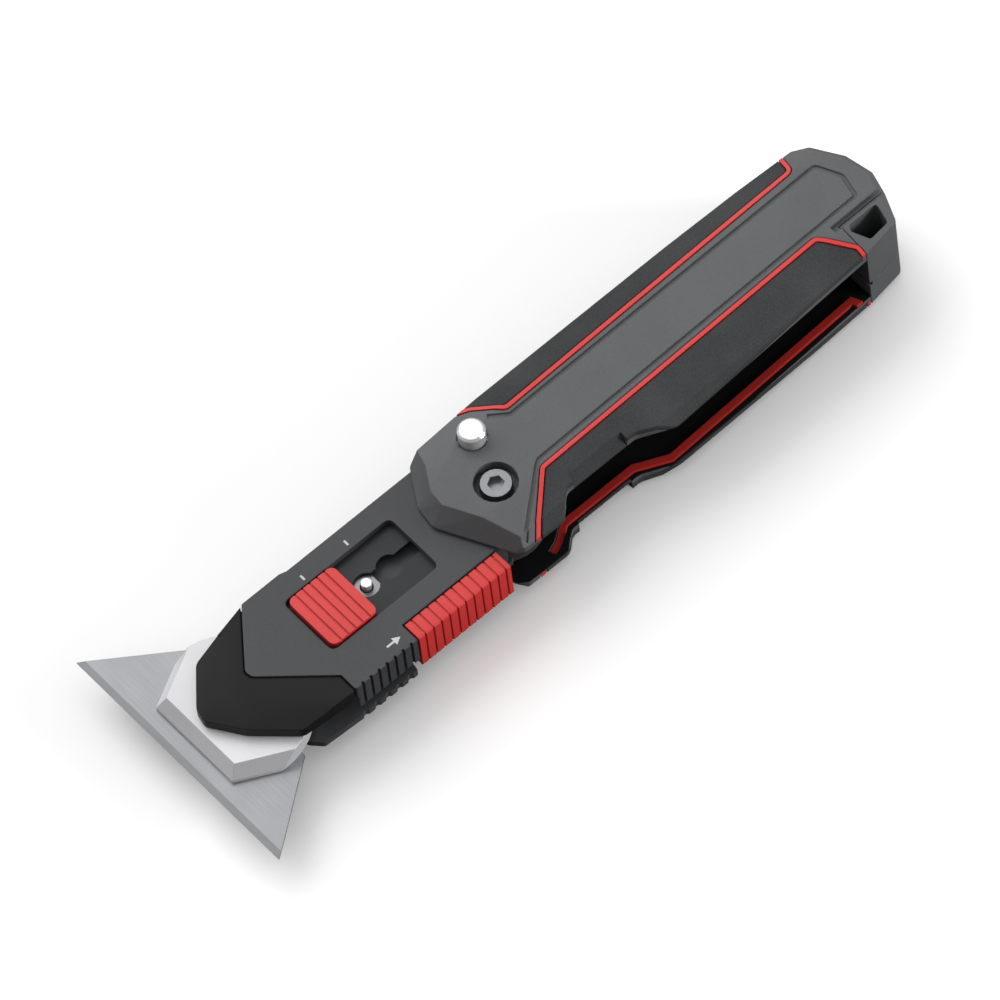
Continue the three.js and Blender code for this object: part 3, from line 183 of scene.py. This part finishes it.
@dataclass(frozen=True)
class Finish:
    """One real finish: its colours, gloss and the size of its pattern.

    Attributes:
        name: Common name of the material and how it was made.
        surface: How the surface was made.
        slot: Record slot that the finish belongs to.
        colour: Main sRGB colour.
        shade: Second sRGB colour of the slight variation.
        roughness: Middle roughness.
        spread: How far the roughness wanders.
        metallic: Share of metal.
        grain_mm: Width of one grain or brush line.
        relief: Strength of the grain's bump.
        edge_mm: Radius that the light sees on the edges.
        sheen: Strength of the clear reflection, 0.5 for a plain one.
    """

    name: str
    surface: Surface
    slot: Slot
    colour: str
    shade: str
    roughness: float
    spread: float
    metallic: float
    grain_mm: float
    relief: float
    edge_mm: float
    sheen: float = 0.5

    def pattern_scale(self) -> Vector:
        """Work out how often the pattern repeats.

        Returns:
            Repeats per metre along each axis.
        """
        repeats = 1 / (self.grain_mm * MM)
        if self.surface is Surface.BRUSHED:
            return Vector((repeats, repeats / BRUSH_STRETCH, repeats))
        return Vector((repeats, repeats, repeats))

    def material(self) -> bpy.types.Material:
        """Build the node material, once for each finish.

        Returns:
            The Blender material.
        """
        known = bpy.data.materials.get(self.name)
        if known is not None:
            return known
        made = bpy.data.materials.new(self.name)
        made.use_nodes = True
        tree = made.node_tree
        tree.nodes.clear()
        place = add_node(tree, "ShaderNodeTexCoord")
        fine_place = add_node(
            tree, "ShaderNodeMapping", {"Scale": self.pattern_scale()}, {"Vector": place.outputs["Object"]}
        )
        fine = add_node(
            tree, "ShaderNodeTexNoise", {"Scale": 1.0, "Detail": FINE_DETAIL, "Roughness": FINE_ROUGHNESS},
            {"Vector": fine_place.outputs["Vector"]},
        )
        broad = add_node(
            tree, "ShaderNodeTexNoise", {"Scale": 1 / PATCH_WIDTH, "Detail": PATCH_DETAIL},
            {"Vector": place.outputs["Object"]},
        )
        blend = add_node(
            tree, "ShaderNodeMix", {"data_type": "FLOAT", "Factor": PATCH_SHARE},
            {"A": fine.outputs["Fac"], "B": broad.outputs["Fac"]},
        )
        tint = add_node(tree, "ShaderNodeValToRGB", None, {"Fac": blend.outputs["Result"]})
        tint.color_ramp.elements[0].position = SHADE_POSITION
        tint.color_ramp.elements[0].color = linear(self.shade)
        tint.color_ramp.elements[1].position = COLOUR_POSITION
        tint.color_ramp.elements[1].color = linear(self.colour)
        gloss = add_node(
            tree, "ShaderNodeMapRange",
            {"To Min": self.roughness - self.spread, "To Max": self.roughness + self.spread},
            {"Value": blend.outputs["Result"]},
        )
        soft_edge = add_node(tree, "ShaderNodeBevel", {"samples": EDGE_SAMPLES, "Radius": self.edge_mm * MM})
        bump = add_node(
            tree, "ShaderNodeBump", {"Strength": self.relief, "Distance": self.grain_mm * MM * RELIEF_DEPTH},
            {"Height": fine.outputs["Fac"], "Normal": soft_edge.outputs["Normal"]},
        )
        shader = add_node(
            tree, "ShaderNodeBsdfPrincipled", {"Metallic": self.metallic, "Specular IOR Level": self.sheen},
            {"Base Color": tint.outputs["Color"], "Roughness": gloss.outputs["Result"],
             "Normal": bump.outputs["Normal"]},
        )
        add_node(tree, "ShaderNodeOutputMaterial", None, {"Surface": shader.outputs["BSDF"]})
        return made


# Powder-painted die casting: satin dark grey with a faint orange peel
SHELL_PAINT = Finish(
    name="powder_painted_casting", surface=Surface.PAINTED, slot=Slot.SHELL,
    colour="58595b", shade="505153", roughness=0.46, spread=0.06, metallic=0.0,
    grain_mm=0.5, relief=0.05, edge_mm=0.35, sheen=0.4,
)
# The same paint on the carrier, a little darker
CARRIER_PAINT = Finish(
    name="painted_carrier_casting", surface=Surface.PAINTED, slot=Slot.CARRIER,
    colour="3e3f41", shade="363739", roughness=0.45, spread=0.06, metallic=0.0,
    grain_mm=0.5, relief=0.05, edge_mm=0.25, sheen=0.4,
)
# Moulded thermoplastic rubber with a spark-eroded grain, drawn a little coarse so that it shows
SOFT_GRIP = Finish(
    name="grained_grip_rubber", surface=Surface.GRAINED, slot=Slot.GRIP,
    colour="404142", shade="2c2d2e", roughness=0.8, spread=0.06, metallic=0.0,
    grain_mm=0.35, relief=0.5, edge_mm=0.5, sheen=0.25,
)
# Moulded red ABS with a slight sheen
RED_PLASTIC = Finish(
    name="moulded_red_plastic", surface=Surface.MOULDED, slot=Slot.RED,
    colour="cf3331", shade="c22b29", roughness=0.42, spread=0.05, metallic=0.0,
    grain_mm=0.4, relief=0.05, edge_mm=0.2,
)
# The same red plastic with painted shade: darker to stand for the shade it lies in inside the slot
RED_PLASTIC_PAINTED_SHADE = Finish(
    name="moulded_red_plastic_painted_shade", surface=Surface.MOULDED, slot=Slot.RED,
    colour="a8211b", shade="991b16", roughness=0.5, spread=0.05, metallic=0.0,
    grain_mm=0.4, relief=0.05, edge_mm=0.2,
)
# Painted shade: matt black on the slot's inner walls, standing in for the shadow inside the slot
SLOT_PAINTED_SHADE = Finish(
    name="matt_black_painted_slot_shade", surface=Surface.PAINTED, slot=Slot.SHELL,
    colour="101011", shade="0b0b0c", roughness=0.7, spread=0.05, metallic=0.0,
    grain_mm=0.4, relief=0.04, edge_mm=0.2, sheen=0.1,
)
# Moulded black nylon, near matt
BLACK_NYLON = Finish(
    name="moulded_black_nylon", surface=Surface.MOULDED, slot=Slot.BLACK,
    colour="121213", shade="0d0d0e", roughness=0.5, spread=0.06, metallic=0.0,
    grain_mm=0.4, relief=0.06, edge_mm=0.4, sheen=0.2,
)
# Bead-blasted aluminium: pale, even and slightly sparkling
BLASTED_ALUMINIUM = Finish(
    name="bead_blasted_aluminium", surface=Surface.BLASTED, slot=Slot.SATIN_METAL,
    colour="d9d9db", shade="cdcdd0", roughness=0.5, spread=0.08, metallic=0.4,
    grain_mm=0.3, relief=0.12, edge_mm=0.2,
)
# Cold-rolled blade steel with lines along the blade, drawn coarse so that they show
BLADE_STEEL = Finish(
    name="ground_blade_steel", surface=Surface.BRUSHED, slot=Slot.STEEL,
    colour="96979a", shade="868789", roughness=0.34, spread=0.1, metallic=0.9,
    grain_mm=0.3, relief=0.06, edge_mm=0.02,
)
# The ground band along the cutting edge, a shade darker than the flat of the blade
GROUND_EDGE = Finish(
    name="ground_edge_steel", surface=Surface.BRUSHED, slot=Slot.STEEL,
    colour="77787a", shade="6b6c6e", roughness=0.36, spread=0.06, metallic=0.9,
    grain_mm=0.2, relief=0.04, edge_mm=0.02,
)
# Turned fasteners and plates of plain steel, grey with a soft gleam
PLAIN_STEEL = Finish(
    name="turned_plain_steel", surface=Surface.BRUSHED, slot=Slot.STEEL,
    colour="8a8b8e", shade="7c7d80", roughness=0.32, spread=0.08, metallic=1.0,
    grain_mm=0.25, relief=0.05, edge_mm=0.15,
)
# Polished steel of the lock button, pin and washers: pale and bright
BRIGHT_STEEL = Finish(
    name="polished_steel", surface=Surface.POLISHED, slot=Slot.BRIGHT_STEEL,
    colour="e2e2e4", shade="d8d8da", roughness=0.24, spread=0.05, metallic=0.6,
    grain_mm=0.3, relief=0.02, edge_mm=0.25,
)
# White screen print, thin and matt
WHITE_PRINT = Finish(
    name="white_screen_print", surface=Surface.PAINTED, slot=Slot.SATIN_METAL,
    colour="c8c8ca", shade="bcbcbe", roughness=0.6, spread=0.05, metallic=0.0,
    grain_mm=0.3, relief=0.02, edge_mm=0.01,
)
# Blackened steel of the screws and the keyhole plate, dark with a dull gleam
DARK_STEEL = Finish(
    name="blackened_steel", surface=Surface.BLASTED, slot=Slot.DARK_STEEL,
    colour="323336", shade="292a2c", roughness=0.45, spread=0.08, metallic=0.6,
    grain_mm=0.3, relief=0.08, edge_mm=0.12,
)


@dataclass(frozen=True)
class Dressing:
    """How one CAD node is finished.

    Attributes:
        node: Name of the CAD node.
        finish: Its finish.
        shown: Whether it is seen, so that it gets a smoothed copy.
        crease: Angle between faces, in degrees, from which the edge stays sharp.
    """

    node: str
    finish: Finish
    shown: bool = True
    crease: float = 32.0


def smoothed_copy(node: str, crease: float) -> bpy.types.Object:
    """Copy a CAD node, weld its triangles, join flat faces and smooth its round ones.

    Args:
        node: Name of the CAD node.
        crease: Angle between faces, in degrees, from which the edge stays sharp.

    Returns:
        The new object, at the origin.
    """
    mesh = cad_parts[node].data.copy()
    work = bmesh.new()
    work.from_mesh(mesh)
    bmesh.ops.remove_doubles(work, verts=work.verts, dist=MERGE_DISTANCE)
    bmesh.ops.dissolve_limit(work, angle_limit=FLAT_ANGLE, verts=work.verts, edges=work.edges)
    for face in work.faces:
        face.smooth = True
    for edge in work.edges:
        edge.smooth = len(edge.link_faces) == 2 and edge.calc_face_angle(0.0) < math.radians(crease)
    return mesh_object(node + FINISHED, mesh, work)


@dataclass
class SubAssembly:
    """A group of pieces that rides on one body.

    Attributes:
        body: CAD body that carries the pieces.
        dressings: The pieces with their finishes.
    """

    body: str
    dressings: list[Dressing] = field(default_factory=list)

    def dress(self) -> None:
        """Give every piece its finish, and a smoothed copy where it is seen."""
        for item in self.dressings:
            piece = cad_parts[item.node]
            if item.shown:
                piece = smoothed_copy(item.node, item.crease)
                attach(piece, self.body)
                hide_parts(item.node)
            piece.data.materials.clear()
            piece.data.materials.append(item.finish.material())
            log.info("dressed %s with %s", item.node, item.finish.name)


@dataclass
class Handle(SubAssembly):
    """Slotted handle with its grips, trims, pivot and tail screws.

    Attributes:
        body: CAD body that carries the pieces.
        dressings: The pieces with their finishes.
        scales: The two halves of the handle, whose inner faces get the painted slot shade.
        slot_end: Tail end of the slot along X, measured from the pivot.
        slot_spine: Spine side of the slot along Y, measured from the pivot.
        slot_half: Half of the depth along Z that gets the painted shade, measured from the pivot.
        level_share: Upright part of a face's normal from which it counts as level.
    """

    body: str = "handle"
    dressings: list[Dressing] = field(default_factory=lambda: [
        Dressing("front_scale", SHELL_PAINT),
        Dressing("rear_scale", SHELL_PAINT),
        Dressing("front_lanyard_eye", SHELL_PAINT),
        Dressing("rear_lanyard_eye", SHELL_PAINT),
        Dressing("front_belly_grip", SOFT_GRIP),
        Dressing("rear_belly_grip", SOFT_GRIP),
        Dressing("front_spine_grip", SOFT_GRIP),
        Dressing("rear_spine_grip", SOFT_GRIP),
        Dressing("front_belly_trim", RED_PLASTIC),
        Dressing("rear_belly_trim", RED_PLASTIC),
        Dressing("front_spine_trim", RED_PLASTIC),
        Dressing("rear_spine_trim", RED_PLASTIC),
        # Painted shade: the slot liner takes the darker red that stands for the slot's shade
        Dressing("slot_liner", RED_PLASTIC_PAINTED_SHADE),
        Dressing("tail_screw_1", DARK_STEEL),
        Dressing("tail_screw_2", DARK_STEEL),
        Dressing("pivot_bolt", PLAIN_STEEL),
        Dressing("pivot_nut", PLAIN_STEEL),
        Dressing("front_washer", BRIGHT_STEEL),
        Dressing("rear_washer", BRIGHT_STEEL),
        Dressing("lock_spring", PLAIN_STEEL, shown=False),
    ])
    scales: tuple[str, str] = ("front_scale", "rear_scale")
    slot_end: float = 87.6 * MM
    slot_spine: float = 14.9 * MM
    slot_half: float = 6.0 * MM
    level_share: float = 0.5

    def paint_slot_shade(self) -> None:
        """Paint shade on the faces of the scales that lie inside the slot: they are blackened to stand for
        the slot's shadow.
        """
        for scale in self.scales:
            mesh = bpy.data.objects[scale + FINISHED].data
            painted_shade_index = len(mesh.materials)
            # Painted shade: a black finish for the faces that lie in the slot's shadow
            mesh.materials.append(SLOT_PAINTED_SHADE.material())
            for polygon in mesh.polygons:
                spot = polygon.center - PIVOT
                level = abs(polygon.normal.z) > self.level_share
                faces_middle = level and polygon.normal.z * spot.z < 0
                between = abs(spot.z) < self.slot_half and spot.x < self.slot_end and spot.y < self.slot_spine
                if faces_middle or between:
                    polygon.material_index = painted_shade_index
            # Logs that this scale's slot side got its painted black shade
            log.info("lined the slot side of %s", scale)

    def dress(self) -> None:
        """Finish the handle's pieces and paint black shade into its slot."""
        super().dress()
        self.paint_slot_shade()


@dataclass
class LockButton(SubAssembly):
    """Press button that frees the fold."""

    body: str = "lock"
    dressings: list[Dressing] = field(default_factory=lambda: [
        Dressing("lock_button", BRIGHT_STEEL),
    ])


@dataclass
class Carrier(SubAssembly):
    """Folding carrier with its window, nose cover, keyhole plate and printed marks.

    Attributes:
        body: CAD body that carries the pieces.
        dressings: The pieces with their finishes.
        print_thickness: Thickness of the print, half of it sunk into the face.
        line_width: Width of a printed line.
        tick_length: Length of a tick along Y.
        tick_middle: Middle of the ticks along Y, measured from the pivot.
        slider_stops: Ticks along X, one at each stop of the face slider, measured from the pivot.
        arrow_start: Start of the arrow's shaft, measured from the pivot.
        arrow_length: From the start of the shaft to the middle of the head.
        arrow_head: From the middle of the head to its corners.
        head_corners: Number of the head's corners.
        head_turn: Turn that brings the head's first corner from Y to X.
    """

    body: str = "carrier"
    dressings: list[Dressing] = field(default_factory=lambda: [
        Dressing("carrier_front", CARRIER_PAINT),
        Dressing("carrier_spacer", CARRIER_PAINT),
        Dressing("carrier_rear", CARRIER_PAINT),
        Dressing("carrier_screw_1", DARK_STEEL),
        Dressing("carrier_screw_2", DARK_STEEL),
        Dressing("carrier_screw_3", DARK_STEEL),
        Dressing("nose_cover", BLACK_NYLON),
        Dressing("nose_screw_1", DARK_STEEL, shown=False),
        Dressing("nose_screw_2", DARK_STEEL, shown=False),
        Dressing("detent_plate", DARK_STEEL),
        Dressing("latch_spring", PLAIN_STEEL, shown=False),
    ])
    print_thickness: float = 0.08 * MM
    line_width: float = 0.45 * MM
    tick_length: float = 1.3 * MM
    tick_middle: float = 12.7 * MM
    slider_stops: tuple[float, float] = (-40.1 * MM, -28.7 * MM)
    arrow_start: Vector = field(default_factory=lambda: Vector((-38.4, -10.6, 0.0)) * MM)
    arrow_length: float = 2.4 * MM
    arrow_head: float = 1.1 * MM
    head_corners: int = 3
    head_turn: float = math.radians(-90)

    def printed_spot(self, middle: Vector) -> Matrix:
        """Find a place on the carrier's printed face.

        Args:
            middle: The place along X and Y, measured from the pivot.

        Returns:
            The move from the origin to that place.
        """
        face_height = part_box("carrier_front")[1].z
        return Matrix.Translation(Vector((PIVOT.x + middle.x, PIVOT.y + middle.y, face_height)))

    def printed_bar(self, work: bmesh.types.BMesh, middle: Vector, length: float, width: float) -> None:
        """Add one printed bar, with its length along X.

        Args:
            work: Mesh that receives the bar.
            middle: Middle of the bar, measured from the pivot.
            length: Length along X.
            width: Width along Y.
        """
        shape = Matrix.Diagonal((length, width, self.print_thickness, 1.0))
        bmesh.ops.create_cube(work, size=1.0, matrix=self.printed_spot(middle) @ shape)

    def printed_head(self, work: bmesh.types.BMesh, middle: Vector) -> None:
        """Add the arrow's three-cornered head, which points along X.

        Args:
            work: Mesh that receives the head.
            middle: Middle of the head, measured from the pivot.
        """
        turned = self.printed_spot(middle) @ Matrix.Rotation(self.head_turn, 4, "Z")
        bmesh.ops.create_cone(
            work, cap_ends=True, segments=self.head_corners, radius1=self.arrow_head, radius2=self.arrow_head,
            depth=self.print_thickness, matrix=turned,
        )

    def marks(self) -> None:
        """Print a tick at each stop of the face slider and an arrow toward the side slide."""
        work = bmesh.new()
        for stop in self.slider_stops:
            self.printed_bar(work, Vector((stop, self.tick_middle, 0.0)), self.line_width, self.tick_length)
        shaft_length = self.arrow_length - self.arrow_head / 2
        shaft_middle = self.arrow_start + Vector((shaft_length / 2, 0.0, 0.0))
        self.printed_bar(work, shaft_middle, shaft_length, self.line_width)
        self.printed_head(work, self.arrow_start + Vector((self.arrow_length, 0.0, 0.0)))
        made = mesh_object("carrier_marks", bpy.data.meshes.new("carrier_marks"), work)
        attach(made, self.body)
        made.data.materials.append(WHITE_PRINT.material())
        log.info("printed the marks on the carrier")

    def dress(self) -> None:
        """Finish the carrier's pieces and print its marks."""
        super().dress()
        self.marks()


@dataclass
class RotateLatch(SubAssembly):
    """Ribbed side slide that frees the holder, with its latch bar."""

    body: str = "latch"
    dressings: list[Dressing] = field(default_factory=lambda: [
        Dressing("rotate_slide", RED_PLASTIC),
        Dressing("latch_bar", CARRIER_PAINT),
    ])


@dataclass
class Carriage(SubAssembly):
    """Sliding carriage with its face slider, guide pin and rivet."""

    body: str = "carriage"
    dressings: list[Dressing] = field(default_factory=lambda: [
        Dressing("carriage_plate", PLAIN_STEEL),
        Dressing("slider_button", RED_PLASTIC),
        Dressing("guide_pin", BRIGHT_STEEL),
        Dressing("holder_rivet", PLAIN_STEEL),
    ])


@dataclass
class BladeHolder(SubAssembly):
    """Turning holder with the blade, its clamp and screw.

    Attributes:
        body: CAD body that carries the pieces.
        dressings: The pieces with their finishes.
        least_grind: Slope of the ground band is more than this, in degrees from level.
        most_grind: Slope of the ground band is less than this, in degrees from level.
    """

    body: str = "holder"
    dressings: list[Dressing] = field(default_factory=lambda: [
        Dressing("blade_holder", BLASTED_ALUMINIUM),
        Dressing("blade", BLADE_STEEL, crease=5.0),
        Dressing("holder_clamp", PLAIN_STEEL),
        Dressing("clamp_screw", DARK_STEEL),
    ])
    least_grind: float = 4.0
    most_grind: float = 25.0

    def grind(self) -> None:
        """Give the blade's slightly sloped edge faces the look of a ground band."""
        mesh = bpy.data.objects["blade" + FINISHED].data
        ground = len(mesh.materials)
        mesh.materials.append(GROUND_EDGE.material())
        for polygon in mesh.polygons:
            slope = math.degrees(math.acos(min(1.0, abs(polygon.normal.z))))
            if self.least_grind < slope < self.most_grind:
                polygon.material_index = ground
        log.info("ground the blade's edge")

    def dress(self) -> None:
        """Finish the holder's pieces and grind the blade's edge."""
        super().dress()
        self.grind()


@dataclass(frozen=True)
class Lamp:
    """One square soft lamp that faces the knife.

    Attributes:
        name: Name of the lamp.
        place: Where it hangs, in metres.
        size: Side of the lamp, in metres.
        power: Power in watts.
    """

    name: str
    place: tuple[float, float, float]
    size: float
    power: float

    def hang(self) -> None:
        """Hang the lamp in its place and turn it to the knife."""
        data = bpy.data.lights.new(self.name, "AREA")
        data.size = self.size
        data.energy = self.power
        lamp = linked_object(self.name, data)
        spot = Vector(self.place)
        lamp.matrix_world = Matrix.Translation(spot) @ (-spot).to_track_quat("-Z", "Y").to_matrix().to_4x4()
        log.info("hung %s", self.name)


@dataclass
class Studio:
    """Pale floor, soft lights and the camera of the view.

    Attributes:
        elevation: Camera height above the horizon, in degrees.
        azimuth: Camera turn round the knife, in degrees.
        roll: Turn of the camera about its own line of sight, in degrees.
        frame_width: Width that the picture covers at the knife, in metres.
        lens: Focal length in millimetres.
        sensor: Sensor width in millimetres.
        nearest: Distance from which the camera sees, in metres.
        farthest: Distance up to which the camera sees, in metres.
        aim: Point at the picture's centre, measured from the pivot.
        floor_reach: Size of the floor's grid, in metres.
        floor_roughness: Roughness of the floor.
        floor_sheen: Strength of the floor's clear reflection.
        floor_seen: The floor's sRGB colour as the camera sees it.
        floor_bounce: The floor's sRGB colour for the light that it throws back.
        sky_colour: sRGB colour of the room's light.
        sky_side: Direction that the room's light mostly comes from.
        sky_span: Part of a direction along sky_side where the light is weakest and strongest.
        sky_strength: The weakest and the strongest light of the room.
        lamps: The soft lamps.
    """

    elevation: float = 60.0
    azimuth: float = -34.3
    roll: float = -8.2
    frame_width: float = 197.2 * MM
    lens: float = 700.0
    sensor: float = 36.0
    nearest: float = 0.01
    farthest: float = 50.0
    aim: Vector = field(default_factory=lambda: Vector((1.47, 1.6, 0.0)) * MM)
    floor_reach: float = 4.0
    floor_roughness: float = 0.9
    floor_sheen: float = 0.0
    floor_seen: str = "ffffff"
    floor_bounce: str = "6a6a6a"
    sky_colour: str = "ffffff"
    sky_side: tuple[float, float, float] = (0.15, 0.5, 0.85)
    sky_span: tuple[float, float] = (-0.2, 1.0)
    sky_strength: tuple[float, float] = (0.1, 0.95)
    lamps: tuple[Lamp, ...] = (
        Lamp(name="key_lamp", place=(-0.2, 1.0, 0.8), size=1.4, power=12.0),
        Lamp(name="belly_lamp", place=(0.8, -0.9, 0.3), size=0.5, power=13.0),
    )

    def camera(self) -> None:
        """Place the camera at the viewing angle."""
        data = bpy.data.cameras.new("studio_camera")
        data.lens = self.lens
        data.sensor_width = self.sensor
        data.clip_start = self.nearest
        data.clip_end = self.farthest
        camera = linked_object("studio_camera", data)
        turn = math.radians(self.azimuth)
        rise = math.radians(self.elevation)
        back = Vector((math.sin(turn) * math.cos(rise), -math.cos(turn) * math.cos(rise), math.sin(rise)))
        distance = self.frame_width * self.lens / self.sensor
        facing = (-back).to_track_quat("-Z", "Y").to_matrix().to_4x4()
        rolled = facing @ Matrix.Rotation(math.radians(self.roll), 4, "Z")
        camera.matrix_world = Matrix.Translation(PIVOT + self.aim + back * distance) @ rolled
        bpy.context.scene.camera = camera
        log.info("placed the camera")

    def floor(self) -> None:
        """Lay the pale floor under the knife."""
        work = bmesh.new()
        bmesh.ops.create_grid(work, x_segments=1, y_segments=1, size=self.floor_reach)
        ground = mesh_object("floor", bpy.data.meshes.new("floor"), work)
        ground.data.materials.append(self.paper())
        log.info("laid the floor")

    def paper(self) -> bpy.types.Material:
        """Build the floor's matt paper, white to the camera and grey to the light that it throws back.

        Returns:
            The Blender material.
        """
        paper = bpy.data.materials.new("studio_paper")
        paper.use_nodes = True
        tree = paper.node_tree
        shader = tree.nodes["Principled BSDF"]
        shader.inputs["Roughness"].default_value = self.floor_roughness
        shader.inputs["Specular IOR Level"].default_value = self.floor_sheen
        path = add_node(tree, "ShaderNodeLightPath")
        tone = add_node(
            tree, "ShaderNodeMix", {"data_type": "RGBA"}, {"Factor": path.outputs["Is Camera Ray"]}
        )
        tone.inputs["A"].default_value = linear(self.floor_bounce)
        tone.inputs["B"].default_value = linear(self.floor_seen)
        tree.links.new(tone.outputs["Result"], shader.inputs["Base Color"])
        return paper

    def world(self) -> None:
        """Fill the room with pale light that falls from above and from the spine side."""
        sky = bpy.data.worlds.new("studio_room")
        sky.use_nodes = True
        tree = sky.node_tree
        place = add_node(tree, "ShaderNodeTexCoord")
        toward = add_node(
            tree, "ShaderNodeVectorMath", {"operation": "DOT_PRODUCT"}, {"Vector": place.outputs["Generated"]}
        )
        toward.inputs[1].default_value = self.sky_side
        level = add_node(
            tree, "ShaderNodeMapRange",
            {"From Min": self.sky_span[0], "From Max": self.sky_span[1],
             "To Min": self.sky_strength[0], "To Max": self.sky_strength[1]},
            {"Value": toward.outputs["Value"]},
        )
        background = tree.nodes["Background"]
        background.inputs["Color"].default_value = linear(self.sky_colour)
        tree.links.new(level.outputs["Result"], background.inputs["Strength"])
        bpy.context.scene.world = sky
        log.info("lit the room")

    def build(self) -> None:
        """Set up the whole studio."""
        self.camera()
        self.floor()
        for lamp in self.lamps:
            lamp.hang()
        self.world()
        bpy.context.scene.view_settings.view_transform = "Standard"


def main() -> None:
    """Build the knife's look and its studio."""
    logging.basicConfig(level=logging.INFO)
    for assembly in (Handle(), LockButton(), Carrier(), RotateLatch(), Carriage(), BladeHolder()):
        assembly.dress()
    Studio().build()


if __name__ == "__main__":
    main()
